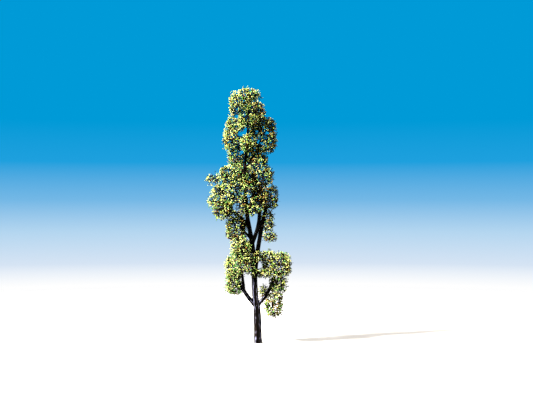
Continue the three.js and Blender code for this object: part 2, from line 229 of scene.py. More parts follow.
def painted_light_plastic():
    """Grey-brown plastic, worn ridges with a painted bluish highlight, darker grooves
    and a fine grain that runs upwards.
    """
    material = plain_material("painted_light_plastic", (84, 74, 70), 0.42)
    nodes, links = material.node_tree.nodes, material.node_tree.links
    shader = nodes["Principled BSDF"]
    groove = nodes.new("ShaderNodeAttribute")
    groove.attribute_name = "groove"
    place = nodes.new("ShaderNodeTexCoord")
    stretch = nodes.new("ShaderNodeMapping")
    stretch.inputs["Scale"].default_value = GRAIN_SCALE
    links.new(place.outputs["Object"], stretch.inputs["Vector"])
    streaks = nodes.new("ShaderNodeTexNoise")
    streaks.inputs["Scale"].default_value = 1.0
    streaks.inputs["Detail"].default_value = 4
    links.new(stretch.outputs["Vector"], streaks.inputs["Vector"])
    mixed = nodes.new("ShaderNodeMath")
    mixed.operation = "MULTIPLY_ADD"
    mixed.inputs[1].default_value = GRAIN_SHARE
    links.new(streaks.outputs["Fac"], mixed.inputs[0])
    links.new(groove.outputs["Fac"], mixed.inputs[2])
    bark_colours = nodes.new("ShaderNodeValToRGB")
    fill_ramp(bark_colours, BARK_FADE)
    links.new(mixed.outputs[0], bark_colours.inputs["Fac"])
    links.new(bark_colours.outputs["Color"], shader.inputs["Base Color"])
    bump = nodes.new("ShaderNodeBump")
    bump.inputs["Strength"].default_value = 0.35
    bump.inputs["Distance"].default_value = 0.00008
    links.new(streaks.outputs["Fac"], bump.inputs["Height"])
    links.new(bump.outputs["Normal"], shader.inputs["Normal"])
    return material


bark = painted_light_plastic()
limbs = {"trunk": Trunk()}
trunk_tube = fluted_tube(limbs["trunk"], TRUNK_FLUTE_DEPTH, TRUNK_SIDES, 0, True)
trunk = tube_piece("trunk_bark", [trunk_tube], bark)
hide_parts("trunk")
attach(trunk, "root")


# Boughs
# The real boughs are moulded with the trunk and bent outwards by hand after it. Each is one tapering limb
# with shallower flutes, and leaves the trunk or an older bough from a small collar.

# The limb that carries a bough, the height there, the azimuth from +X towards +Y and the first and last rise
# above the level in degrees, the length of the arc between them, and the first and last radius.
BOUGHS = {
    "bough_left_low": ("trunk", 21.7, 180, (42, 62), 13.6, (1.25, 1.0)),
    "bough_left_upright": ("bough_left_low", 31.2, 180, (88, 79), 13, (0.85, 0.6)),
    "bough_left_outer": ("bough_left_low", 31.6, 182, (50, 68), 14, (0.8, 0.5)),
    "bough_right_low": ("trunk", 21.7, 4, (43, 80), 24, (1.2, 0.75)),
    "bough_left_mid": ("trunk", 61.2, 184, (44, 54), 10.5, (0.75, 0.5)),
    "bough_left_wide": ("trunk", 68, 174, (52, 32), 23, (0.75, 0.4)),
    "bough_right_mid": ("trunk", 59, 350, (61, 93), 20, (1.15, 1.0)),
    "bough_right_long": ("trunk", 38, 10, (85, 76), 43, (1.3, 1.1)),
    "bough_right_inner": ("trunk", 74.5, 344, (70, 86), 19.5, (0.6, 0.4)),
    "bough_left_high": ("trunk", 93.5, 178, (34, 2), 15, (0.55, 0.35)),
    "bough_right_high": ("trunk", 102.5, 6, (50, 78), 24, (0.52, 0.32)),
    "bough_back": ("trunk", 62.5, 108, (60, 84), 24, (0.7, 0.45)),
}
BOUGH_SIDES = 40
BOUGH_FLUTE_DEPTH = 0.24
BOUGH_COLLAR = 0.3  # how much thicker a bough is at its root


class Bough:
    """A bough's middle line, an arc that starts on the line of the limb that carries it."""

    def __init__(self, parent, height, azimuth, rise, length, radius):
        self.length, self.radius = length, radius
        self.start = parent.point_at(parent.share_at_height(height))
        self.first, self.last = (math.radians(angle) for angle in rise)
        self.out = Vector((math.cos(math.radians(azimuth)), math.sin(math.radians(azimuth)), 0))
        self.bend = length / (self.last - self.first)
        self.bottom, self.top = self.start.z, self.point_at(1).z

    def share_at_height(self, height):
        rise = math.acos(math.cos(self.first) - (height - self.start.z) / self.bend)
        return (rise - self.first) / (self.last - self.first)

    def point_at(self, share):
        rise = lerp(self.first, self.last, share)
        run = self.bend * (math.sin(rise) - math.sin(self.first))
        climb = self.bend * (math.cos(self.first) - math.cos(rise))
        return self.start + self.out * run + Vector((0, 0, climb))

    def radius_at(self, share):
        return lerp(*self.radius, share)

    def heading_at(self, share):
        rise = lerp(self.first, self.last, share)
        return self.out * math.cos(rise) + Vector((0, 0, math.sin(rise)))


for name, (parent, *sizes) in BOUGHS.items():
    limbs[name] = Bough(limbs[parent], *sizes)
# Right boughs turn a dark groove to the front and left ones a light ridge: painted shade right, highlight
# left.
boughs = tube_piece("bough_bark", [
    fluted_tube(limbs[name], BOUGH_FLUTE_DEPTH, BOUGH_SIDES, BOUGH_COLLAR, "right" in name) for name in BOUGHS
], bark)
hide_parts(*BOUGHS)
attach(boughs, "root")


# Sprays
# The real crown is crumbled foam that is glued in clumps on fine twigs. Each clump keeps to its own space,
# and the same seeded rule as in the part's source places its sprays there.

# A mass's limb, height, height at which it is held, offset from there to the right and to the back, and reach
# to the side, in depth and upwards.
MASSES = {
    "crown_tip": ("trunk", 145.6, None, (-0.8, 0), (7.1, 6.6, 4.9)),
    "crown_left": ("trunk", 139.8, 138.5, (-6.6, -0.6), (5.8, 7.6, 8.2)),
    "crown_right": ("trunk", 134.9, None, (4.4, -2.8), (6.1, 6.8, 6.8)),
    "crown_back": ("trunk", 137.2, None, (2.6, 7.2), (5.0, 6.2, 6.6)),
    "crown_front": ("trunk", 130.8, None, (-1.2, -6.2), (5.2, 5.4, 5.2)),
    "shoulder_left": ("trunk", 128.4, 126.5, (-7.5, 1.8), (6.2, 8.0, 5.5)),
    "shoulder_right": ("bough_right_high", 127.8, None, (1.8, -0.4), (6.5, 7.4, 5.5)),
    "shoulder_back": ("trunk", 128.3, None, (4.8, 8.2), (5.2, 6.0, 5.0)),
    "upper_left": ("trunk", 119.4, None, (-8.4, -0.8), (6.5, 7.8, 7.6)),
    "upper_inner": ("trunk", 122, None, (3.2, 1.4), (3.4, 5.4, 4.8)),
    "upper_right": ("bough_right_high", 119.0, None, (2.8, -0.4), (7.2, 7.8, 8.3)),
    "upper_front": ("trunk", 117.2, None, (0.2, -6.2), (4.9, 5.4, 5.8)),
    "upper_back": ("trunk", 112.5, 115.5, (2.9, 8.2), (5.8, 6.4, 6.8)),
    "waist_left": ("trunk", 109.2, None, (-5.5, 0.8), (5.4, 7.2, 7.2)),
    "waist_right": ("trunk", 106.0, None, (7.6, -1.4), (6.2, 7.4, 6.2)),
    "waist_front": ("trunk", 100.6, None, (-1.5, -6.8), (5.0, 5.6, 5.8)),
    "arm_left": ("bough_left_high", 98.7, 97.2, (-1.9, 0.6), (6.1, 7.4, 6.5)),
    "arm_left_tip": ("bough_left_high", 96.4, 98.2, (-3.9, 0), (5.7, 4.4, 3.3)),
    "belly_left": ("trunk", 92, None, (-5.4, -0.8), (5.6, 6.6, 6.4)),
    "belly_right": ("bough_right_inner", 97.8, None, (5.0, 0.4), (7.0, 7.8, 6.8)),
    "belly_back": ("trunk", 97.2, None, (1.4, 8.4), (6.2, 6.4, 7.4)),
    "belly_front": ("trunk", 91.6, None, (1.9, -6.4), (4.5, 5.2, 4.9)),
    "wide_left_top": ("bough_left_wide", 87.6, 82, (0.5, -1.2), (8.9, 7.8, 6.8)),
    "wide_left_low": ("bough_left_wide", 78.7, None, (-4.2, -4.0), (7.3, 7.2, 6.4)),
    "wide_left_tip": ("bough_left_wide", 83.0, None, (-4.5, -1.4), (4.1, 4.6, 4.3)),
    "wide_left_back": ("bough_left_wide", 82.6, 82, (1.4, 5.9), (6.0, 6.0, 7.4)),
    "column_left": ("trunk", 80.6, None, (-3.9, -1.8), (4.6, 5.8, 8.2)),
    "column_right": ("trunk", 80, None, (3.6, -3.2), (4.0, 4.6, 5.8)),
    "column_back": ("bough_back", 86.2, None, (6.8, 0.6), (5.4, 6.0, 7.6)),
    "middle_right": ("bough_right_mid", 84.2, None, (0.6, -1.6), (5.3, 6.8, 8.4)),
    "edge_right": ("bough_right_long", 85.4, None, (3.1, -1.2), (4.3, 6.8, 7.6)),
    "edge_right_low": ("bough_right_long", 71.4, None, (2.5, -1.2), (4.4, 5.4, 7.8)),
    "edge_right_drop": ("bough_right_long", 62.4, None, (6.0, -0.8), (4.5, 4.6, 3.8)),
    "middle_left": ("bough_left_mid", 67.2, None, (-3.4, 1.0), (6.5, 8.4, 8.3)),
    "skirt_left": ("trunk", 55.6, None, (-6.9, -4.6), (6.4, 6.8, 7.3)),
    "skirt_front": ("trunk", 46.8, None, (-4.5, -6.2), (6.4, 6.2, 6.3)),
    "skirt_inner": ("trunk", 50.8, None, (2.5, -5.2), (3.9, 4.8, 3.6)),
    "skirt_back": ("trunk", 53, None, (-5.6, 7.0), (5.8, 6.6, 7.6)),
    "bridge_front": ("trunk", 41.4, None, (3.8, -6.0), (7.4, 4.8, 3.0)),
    "low_right_inner": ("trunk", 48.2, None, (8.4, 1.6), (4.7, 8.2, 7.0)),
    "low_right_outer": ("bough_right_low", 45.8, None, (2.3, -1.2), (7.3, 8.0, 8.0)),
    "hang_right_top": ("bough_right_low", 34.3, None, (3.6, -1.0), (5.7, 6.2, 5.8)),
    "hang_right_low": ("bough_right_low", 23.8, 26.5, (5.7, -0.6), (6.2, 6.2, 9.2)),
    "tuft_right": ("bough_right_low", 30.2, None, (-2.7, -1.6), (3.4, 3.6, 4.6)),
    "low_left_top": ("bough_left_outer", 46.2, None, (-0.1, 0), (3.9, 5.6, 5.3)),
    "low_left_middle": ("bough_left_outer", 40.0, None, (0.3, -1.4), (5.4, 6.4, 5.3)),
    "low_left_low": ("bough_left_outer", 33.0, None, (-3.9, -0.6), (6.0, 6.2, 5.1)),
}
CLEARANCE = 0.3  # between two masses
REACH_OF_STEMS = 4  # masses further apart than this aren't parted
SQUARENESS = 2.6  # of a mass's outline, where 2 is an ellipsoid
CORE_SHARE = (0.86, 0.98)  # least and most reach of a core's corners, against the mass's
SPRAY_SHARE = 0.34  # a spray's radius against the mass's mean half size
SPRAY_SPREAD = (0.8, 1)  # least and most size of a spray, against that
SPRAY_REACH = (0.88, 0.98)  # least and most reach of a spray, against the mass's
LOOSE_SHARE = 0.14  # how many sprays stand off on a bare twig, which are smaller
LOOSE_SIZE = 0.6
FIRST_SEED, SEED_STEP = 17, 7919
LEAST_SLANT = 1e-6  # a direction that nears a plane by less than this runs along it

# The corners and faces of an icosahedron, in the source's order.
GOLD = (1 + math.sqrt(5)) / 2
CORNERS = [
    (-1, GOLD, 0), (1, GOLD, 0), (-1, -GOLD, 0), (1, -GOLD, 0), (0, -1, GOLD), (0, 1, GOLD),
    (0, -1, -GOLD), (0, 1, -GOLD), (GOLD, 0, -1), (GOLD, 0, 1), (-GOLD, 0, -1), (-GOLD, 0, 1),
]
FACES = [
    (0, 11, 5), (0, 5, 1), (0, 1, 7), (0, 7, 10), (0, 10, 11), (1, 5, 9), (5, 11, 4), (11, 10, 2), (10, 7, 6),
    (7, 1, 8), (3, 9, 4), (3, 4, 2), (3, 2, 6), (3, 6, 8), (3, 8, 9), (4, 9, 5), (2, 4, 11), (6, 2, 10),
    (8, 6, 7), (9, 8, 1),
]
CORNER_ORDER = (0, 11, 5, 1, 7, 10, 9, 4, 2, 6, 8, 3)


def seeded(seed):
    """One seeded stream of numbers from 0 to 1, the same on every run."""
    state = seed
    while True:
        state = (state * 1664525 + 1013904223) % 2**32
        yield state / 2**32


class Space:
    """The rounded box of a mass, less what lies past the planes that part it from its neighbours."""

    def __init__(self, name, index, limb, height, held, offset, half):
        self.name, self.index = name, index
        level = min(limb.top, max(limb.bottom, height if held is None else held))
        self.held = limb.point_at(limb.share_at_height(level))
        self.middle = Vector((self.held.x + offset[0], self.held.y + offset[1], height))
        self.half, self.planes, self.neighbours, self.tufts = Vector(half), [], [], []

    def part_from(self, other):
        """Adds the plane between this space and another, with how far a stem may pass it."""
        between = other.middle - self.middle
        distance = between.length
        direction = between / distance
        own = (direction * self.half).length
        theirs = (direction * other.half).length
        if own + theirs >= distance - REACH_OF_STEMS:
            limit = distance * own / (own + theirs) - CLEARANCE / 2
            self.planes.append((direction, limit, max(limit, distance - theirs - CLEARANCE)))
            self.neighbours.append(other)

    def reach_along(self, unit):
        """How far the rounded box reaches that way."""
        return sum(abs(u / h) ** SQUARENESS for u, h in zip(unit, self.half)) ** (-1 / SQUARENESS)

    def limit_along(self, unit, radius, for_stem=False):
        """How far a ball of this radius can go that way before it meets a plane."""
        along = math.inf
        for direction, limit, stem_limit in self.planes:
            part = unit.dot(direction)
            if part > LEAST_SLANT:
                along = min(along, ((stem_limit if for_stem else limit) - radius) / part)
        return along


def core_shape(space, random):
    """The corners of the mass's core of twenty faces, turned and dented by the seeded stream."""
    turn_x, turn_z = next(random) * math.pi, next(random) * math.pi
    turn = Matrix.Rotation(turn_z, 3, "Z") @ Matrix.Rotation(turn_x, 3, "X")
    corners = {}
    for corner in CORNER_ORDER:
        unit = ((turn @ Vector(CORNERS[corner])) * space.half).normalized()
        wanted = space.reach_along(unit) * lerp(*CORE_SHARE, next(random))
        corners[corner] = space.middle + unit * min(wanted, space.limit_along(unit, 0))
    return corners


def spray_places(space, corners, random):
    """For each face of the core, the direction, middle and size of its spray."""
    mean = (space.half.x * space.half.y * space.half.z) ** (1 / 3)
    places = []
    for face in FACES:
        loose = next(random) < LOOSE_SHARE
        size = SPRAY_SHARE * mean * lerp(*SPRAY_SPREAD, next(random)) * (LOOSE_SIZE if loose else 1)
        share = 1 if loose else lerp(*SPRAY_REACH, next(random))
        next(random)  # the source turns its solid spray by this draw
        unit = (sum((corners[corner] for corner in face), Vector()) / 3 - space.middle).normalized()
        along = min(space.reach_along(unit) * share - size, space.limit_along(unit, size))
        places.append((unit, space.middle + unit * along, size))
    return places


spaces = [Space(name, i, limbs[limb], *sizes) for i, (name, (limb, *sizes)) in enumerate(MASSES.items())]
for space in spaces:
    for other in spaces:
        if other is not space:
            space.part_from(other)
    random = seeded(space.index * SEED_STEP + FIRST_SEED)
    corners = core_shape(space, random)
    space.sprays = spray_places(space, corners, random)


# Twigs
# The real twigs are thin ends of the same moulding and stiff fibres. One stem carries each mass and forks to
# every spray, and each of those forks again into finer fibres that carry the crumbs.

STEM_RADIUS = 0.4
STEM_CLEARANCE = 0.45  # from a stem's middle line to a neighbouring mass
TWIG_RADII = (0.2, 0.09)
TWIG_BEND, TWIG_BEND_AT = 0.8, 0.55  # how far a twig bends aside, and at what share of its length
FIBRES = 6  # for each spray, and each carries one tuft of crumbs
FIBRE_RADII = (0.1, 0.06)
FIBRE_ROOTS = (0.2, 0.8)  # share of the twig's outer half at which a fibre leaves it
FIBRE_SPREAD = 0.55  # of the tips, against the spray's size
FIBRE_RISE = 0.3  # of the tips beyond the spray's middle
FIBRE_BEND, FIBRE_BEND_AT = 0.25, 0.6
FIBRE_CLEARANCE = 0.1  # from a tip to a neighbouring mass
TWIG_SEED = 500


def node_tree(name, inputs):
    """An empty geometry tree with the named inputs, and its group input and output."""
    tree = bpy.data.node_groups.new(name, "GeometryNodeTree")
    tree.interface.new_socket("Geometry", in_out="INPUT", socket_type="NodeSocketGeometry")
    for label, (kind, value) in inputs.items():
        socket = tree.interface.new_socket(label, in_out="INPUT", socket_type=kind)
        if value is not None:
            socket.default_value = value
    tree.interface.new_socket("Geometry", in_out="OUTPUT", socket_type="NodeSocketGeometry")
    return tree, tree.nodes.new("NodeGroupInput"), tree.nodes.new("NodeGroupOutput")


def twig_tree():
    """Edges with a radius at each point become closed three-sided twigs."""
    tree, given, result = node_tree("Twigs along edges", {
        "Thickness": ("NodeSocketFloat", 1.0),
        "Sides": ("NodeSocketInt", 3),
        "Material": ("NodeSocketMaterial", None),
    })
    nodes, link = tree.nodes, tree.links.new
    radius = nodes.new("GeometryNodeInputNamedAttribute")
    radius.data_type = "FLOAT"
    radius.inputs["Name"].default_value = "radius"
    thick = nodes.new("ShaderNodeMath")
    thick.operation = "MULTIPLY"
    link(radius.outputs["Attribute"], thick.inputs[0])
    link(given.outputs["Thickness"], thick.inputs[1])
    line = nodes.new("GeometryNodeMeshToCurve")
    link(given.outputs["Geometry"], line.inputs["Mesh"])
    profile = nodes.new("GeometryNodeCurvePrimitiveCircle")
    link(given.outputs["Sides"], profile.inputs["Resolution"])
    profile.inputs["Radius"].default_value = 1.0
    swept = nodes.new("GeometryNodeCurveToMesh")
    link(line.outputs["Curve"], swept.inputs["Curve"])
    link(profile.outputs["Curve"], swept.inputs["Profile Curve"])
    link(thick.outputs[0], swept.inputs["Scale"])
    swept.inputs["Fill Caps"].default_value = True
    real = nodes.new("GeometryNodeRealizeInstances")
    link(swept.outputs["Mesh"], real.inputs["Geometry"])
    paint = nodes.new("GeometryNodeSetMaterial")
    link(real.outputs["Geometry"], paint.inputs["Geometry"])
    link(given.outputs["Material"], paint.inputs["Material"])
    link(paint.outputs["Geometry"], result.inputs["Geometry"])
    return tree


def grown_piece(name, tree, points, edges, values, given):
    """A piece grown from points in millimetres and their float values, with the tree's inputs by name."""
    mesh = bpy.data.meshes.new(name)
    mesh.from_pydata([tuple(point * MM for point in place) for place in points], edges, [])
    for label, numbers in values.items():
        mesh.attributes.new(label, "FLOAT", "POINT").data.foreach_set("value", numbers)
    piece = bpy.data.objects.new(name, mesh)
    bpy.context.scene.collection.objects.link(piece)
    modifier = piece.modifiers.new("growth", "NODES")
    modifier.node_group = tree
    for socket in tree.interface.items_tree:
        if socket.in_out == "INPUT" and socket.name in given:
            modifier[socket.identifier] = given[socket.name]
    bpy.context.view_layer.update()
    grown = piece.evaluated_get(bpy.context.evaluated_depsgraph_get())
    piece.data = bpy.data.meshes.new_from_object(grown)
    piece.data.name = name
    piece.modifiers.remove(modifier)
    bpy.data.meshes.remove(mesh)
    return piece


twig_points, twig_edges, twig_radii = [], [], []


def add_twig(stops, root, tip):
    """A bent tapering twig through the stops."""
    first = len(twig_points)
    for i, stop in enumerate(stops):
        twig_points.append(stop)
        twig_radii.append(lerp(root, tip, i / (len(stops) - 1)) * MM)
    twig_edges.extend((k, k + 1) for k in range(first, len(twig_points) - 1))


for space in spaces:
    chance = np.random.default_rng(TWIG_SEED + space.index)
    towards = space.held - space.middle
    unit = towards.normalized()
    along = min(towards.length, space.limit_along(unit, STEM_CLEARANCE, for_stem=True))
    add_twig([space.middle + unit * along, space.middle], STEM_RADIUS, TWIG_RADII[0])
    for out, end, size in space.sprays:
        bend = Vector(chance.uniform(-TWIG_BEND, TWIG_BEND, 3))
        middle = space.middle.lerp(end, TWIG_BEND_AT) + bend
        add_twig([space.middle, middle, end], *TWIG_RADII)
        for _ in range(FIBRES):
            root = middle.lerp(end, chance.uniform(*FIBRE_ROOTS))
            tip = end + Vector(chance.normal(0, FIBRE_SPREAD, 3)) * size + out * FIBRE_RISE
            space.tufts.append(tip)
            reach = tip - space.middle
            if space.limit_along(reach.normalized(), FIBRE_CLEARANCE) >= reach.length:
                bend = Vector(chance.uniform(-FIBRE_BEND, FIBRE_BEND, 3))
                add_twig([root, root.lerp(tip, FIBRE_BEND_AT) + bend, tip], *FIBRE_RADII)

twig_plastic = plain_material("dark_twig_plastic", (52, 42, 34), 0.6)
twig_growth = twig_tree()
twig_inputs = {"Thickness": 1.0, "Sides": 3, "Material": twig_plastic}
twigs = grown_piece("fine_twigs", twig_growth, twig_points, twig_edges, {"radius": twig_radii}, twig_inputs)
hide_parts(*MASSES)
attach(twigs, "root")


# Crumbs of foam
# The real foliage is coarse crumbled foam, dyed in several greens and browns, which is glued over the twigs
# in lumps with air between them. Each crumb is a dented double lump of few faces with one dye, and the ones
# that stand off the surface sit on fine fibres.

# Crumbs lie in three layers: the pitch they are scattered at, their radius, the least and most depth under
# the surface, and the share of places that hold one.
LAYERS = {
    "inner": (1.1, (0.38, 0.58), (0.8, 3.0), 0.82),
    "outer": (1.06, (0.32, 0.54), (-0.2, 1.4), 0.78),
    "stray": (1.4, (0.3, 0.46), (-1.0, -0.2), 0.16),
}
JITTER = 0.36  # of the places in the grid, against the pitch
GRID_REACH = 1.2  # of the grid, against the mass
OUTLINE, LUMPS = 0.97, 0.15  # the surface's mean reach and how far its lumps change it
LUMP_PITCHES, CAVE_PITCHES, CAVE_PHASE = (0.31, 0.8), (0.42, 0.95), 40
CLOSENESS = 9  # a lower number rounds the creases between masses more
CAVES, CAVE_FADE = -0.22, 0.15 / 3  # noise under this leaves air, and less of it deeper in
GAP_LUMPS = 0.35  # how far the lumps change the radius of an opening
GAP_CLEARANCE, LIMB_CLEARANCE, BARE_CLEARANCE = 0.5, 0.45, 0.6  # against a crumb's radius
LIMB_STEPS = 60  # points at which a limb is kept clear
OWN_DYE = 0.72  # share of the crumbs that take a dye of their own and not their tuft's
STRAY_FIBRE, STRAY_FIBRE_RADIUS = 0.3, 0.07  # length, against the way to the mass's middle, and radius
DYE_SEED = 1300
AIRY = {  # how full a mass is against the others: less lets light through, and more closes it
    "crown_tip": 0.85,
    "crown_right": 0.85,
    "upper_right": 1.1,
    "arm_left_tip": 0.55,
    "wide_left_tip": 0.6,
    "edge_right_drop": 0.9,
    "middle_right": 1.2,
    "middle_left": 1.2,
    "edge_right": 1.15,
    "belly_right": 1.1,
    "bridge_front": 1.25,
    "tuft_right": 1.2,
    "hang_right_top": 1.2,
    "hang_right_low": 1.25,
    "low_right_inner": 1.1,
    "low_right_outer": 1.15,
    "low_left_top": 1.1,
    "low_left_middle": 1.15,
    "low_left_low": 1.15,
}
DYES = {
    "straw": (236, 244, 152),
    "olive": (176, 194, 78),
    "leaf": (114, 180, 88),
    "moss": (58, 90, 42),
    "umber": (162, 118, 46),
    # The shade dye is near black and stands for the dark between and under the crumbs: painted shade.
    "shade": (12, 9, 6),
}

# Shares of the six dyes, in the order above: in masses from the lightest to the darkest, and inside them all.
# Lighter shares on masses that stand in light and darker ones on masses in shade are painted light and shade,
# and the inner shares, mostly the shade dye, are painted shade deep in the masses.
SUNNY = (0.41, 0.15, 0.19, 0.02, 0.05, 0.18)
EVEN = (0.28, 0.14, 0.23, 0.03, 0.07, 0.25)
PAINTED_HALF_SHADE = (0.23, 0.13, 0.13, 0.03, 0.17, 0.31)
PAINTED_DEEP_SHADE = (0.13, 0.12, 0.12, 0.04, 0.17, 0.42)
INNER_PAINTED_SHADE = (0.0, 0.02, 0.04, 0.16, 0.08, 0.7)
MASSES_BY_SHARES = {  # the rest take the even shares
    SUNNY: """crown_left crown_tip shoulder_left upper_left arm_left arm_left_tip wide_left_top wide_left_tip
        skirt_left bridge_front low_right_inner low_left_top low_left_middle""",
    PAINTED_HALF_SHADE: """crown_right shoulder_right upper_right waist_right belly_right edge_right_low edge_right_drop
        hang_right_low""",
    PAINTED_DEEP_SHADE: "middle_right middle_left edge_right",
}
SHARES = {name: shares for shares, names in MASSES_BY_SHARES.items() for name in names.split()}

# Small openings through the crown: millimetres to the right, height and radius.
SKY_GAPS = [
    (-10.2, 122.8, 1.6),
    (-12.6, 133.0, 1.0),
    (-3.6, 120.2, 1.0),
    (-1.2, 124.6, 0.7),
    (0.5, 118.2, 1.0),
    (-7.7, 134.0, 0.9),
    (-9.4, 112.3, 0.9),
    (5.2, 123.4, 0.9),
    (-12.6, 80.0, 2.3),
    (0.5, 45.7, 1.8),
    (-5.9, 85.3, 0.8),
    (-5.9, 82.8, 0.8),
    (9.3, 87.0, 0.8),
    (7.0, 92.3, 0.7),
]

# Limbs that the foliage leaves bare in front, from one share of their length to another.
BARE = [
    ("trunk", 0.0, 0.262),
    ("trunk", 0.7, 0.775),
    ("trunk", 0.925, 0.955),
    ("bough_left_low", 0.0, 1.0),
    ("bough_left_upright", 0.0, 0.5),
    ("bough_right_low", 0.0, 0.5),
    ("bough_right_mid", 0.0, 0.75),
    ("bough_right_long", 0.45, 0.8),
    ("bough_right_high", 0.0, 0.35),
]

KINDS = 4  # of crumb, and how far the two lumps turn from one kind to the next
KIND_TURN = 1.7
LUMP_PAIR = ((0.62, 0.46), (0.72, -0.36))  # the radius of each lump of a crumb and how far it stands aside
LUMP_RISE = 0.2  # how far it stands up, against that
MOST_SQUASH = 1.15


def crumb_tree():
    """Each point becomes one of a few dented double lumps, turned and squashed at random."""
    tree, given, result = node_tree("Foam crumbs", {
        "Dent": ("NodeSocketFloat", 0.3),
        "Squash": ("NodeSocketFloat", 0.75),
        "Seed": ("NodeSocketInt", 0),
        "Material": ("NodeSocketMaterial", None),
    })
    nodes, link = tree.nodes, tree.links.new
    kinds = nodes.new("GeometryNodeJoinGeometry")
    for kind in range(KINDS):
        lumps = nodes.new("GeometryNodeJoinGeometry")
        for lump, (radius, side) in enumerate(LUMP_PAIR):
            ball = nodes.new("GeometryNodeMeshIcoSphere")
            ball.inputs["Radius"].default_value = radius
            ball.inputs["Subdivisions"].default_value = 1
            dents = nodes.new("FunctionNodeRandomValue")
            dents.data_type = "FLOAT_VECTOR"
            dents.inputs["Min"].default_value = (-1, -1, -1)
            dents.inputs["Max"].default_value = (1, 1, 1)
            dents.inputs["Seed"].default_value = 10 * kind + lump
            scaled = nodes.new("ShaderNodeVectorMath")
            scaled.operation = "SCALE"
            link(dents.outputs["Value"], scaled.inputs["Vector"])
            link(given.outputs["Dent"], scaled.inputs["Scale"])
            moved = nodes.new("ShaderNodeVectorMath")
            moved.operation = "ADD"
            turn = KIND_TURN * kind
            moved.inputs[1].default_value = (side * math.cos(turn), side * math.sin(turn), LUMP_RISE * side)
            link(scaled.outputs["Vector"], moved.inputs[0])
            dented = nodes.new("GeometryNodeSetPosition")
            link(ball.outputs["Mesh"], dented.inputs["Geometry"])
            link(moved.outputs["Vector"], dented.inputs["Offset"])
            link(dented.outputs["Geometry"], lumps.inputs["Geometry"])
        single = nodes.new("GeometryNodeGeometryToInstance")
        link(lumps.outputs["Geometry"], single.inputs["Geometry"])
        link(single.outputs["Instances"], kinds.inputs["Geometry"])

    def random_value(data_type, high, offset):
        """A random value from 0, or from what is linked to its least socket, with a seed of its own."""
        value = nodes.new("FunctionNodeRandomValue")
        value.data_type = data_type
        least, most, *_ = [socket for socket in value.inputs if socket.enabled]
        most.default_value = high
        shifted = nodes.new("ShaderNodeMath")
        shifted.inputs[1].default_value = offset
        link(given.outputs["Seed"], shifted.inputs[0])
        link(shifted.outputs[0], value.inputs["Seed"])
        drawn, *_ = [socket for socket in value.outputs if socket.enabled]
        return drawn, least

    turn, _ = random_value("FLOAT_VECTOR", (math.tau,) * 3, 1)
    pick, _ = random_value("INT", KINDS - 1, 2)
    squash, least = random_value("FLOAT_VECTOR", (MOST_SQUASH,) * 3, 3)
    link(given.outputs["Squash"], least)
    turned = nodes.new("FunctionNodeEulerToRotation")
    link(turn, turned.inputs[0])
    size = nodes.new("GeometryNodeInputNamedAttribute")
    size.data_type = "FLOAT"
    size.inputs["Name"].default_value = "size"
    scale = nodes.new("ShaderNodeVectorMath")
    scale.operation = "SCALE"
    link(squash, scale.inputs["Vector"])
    link(size.outputs["Attribute"], scale.inputs["Scale"])
    placed = nodes.new("GeometryNodeInstanceOnPoints")
    link(given.outputs["Geometry"], placed.inputs["Points"])
    link(kinds.outputs["Geometry"], placed.inputs["Instance"])
    placed.inputs["Pick Instance"].default_value = True
    link(pick, placed.inputs["Instance Index"])
    link(turned.outputs[0], placed.inputs["Rotation"])
    link(scale.outputs["Vector"], placed.inputs["Scale"])
    real = nodes.new("GeometryNodeRealizeInstances")
    link(placed.outputs["Instances"], real.inputs["Geometry"])
    paint = nodes.new("GeometryNodeSetMaterial")
    link(real.outputs["Geometry"], paint.inputs["Geometry"])
    link(given.outputs["Material"], paint.inputs["Material"])
    link(paint.outputs["Geometry"], result.inputs["Geometry"])
    return tree


def limb_line(limb, first, last):
    """Points along part of a limb, each with its radius."""
    shares = np.linspace(first, last, LIMB_STEPS)
    return np.array([[*limb.point_at(share), limb.radius_at(share)] for share in shares])


whole_limbs = np.concatenate([limb_line(limb, 0, 1) for limb in limbs.values()])
bare_limbs = np.concatenate([limb_line(limbs[name], first, last) for name, first, last in BARE])


def depth_share(space, place):
    """How far each place lies from a mass's middle, against the mass's reach that way."""
    shares = np.abs((place - np.array(space.middle)) / np.array(space.half))
    return (shares**SQUARENESS).sum(axis=1) ** (1 / SQUARENESS)


def mottle(places, coarse, fine, phase=0):
    """Coarse noise at each place, with fine noise of half its strength over it."""
    return np.array([
        roughness(*(place * coarse + phase)) + 0.5 * roughness(*(place * fine)) for place in places
    ])


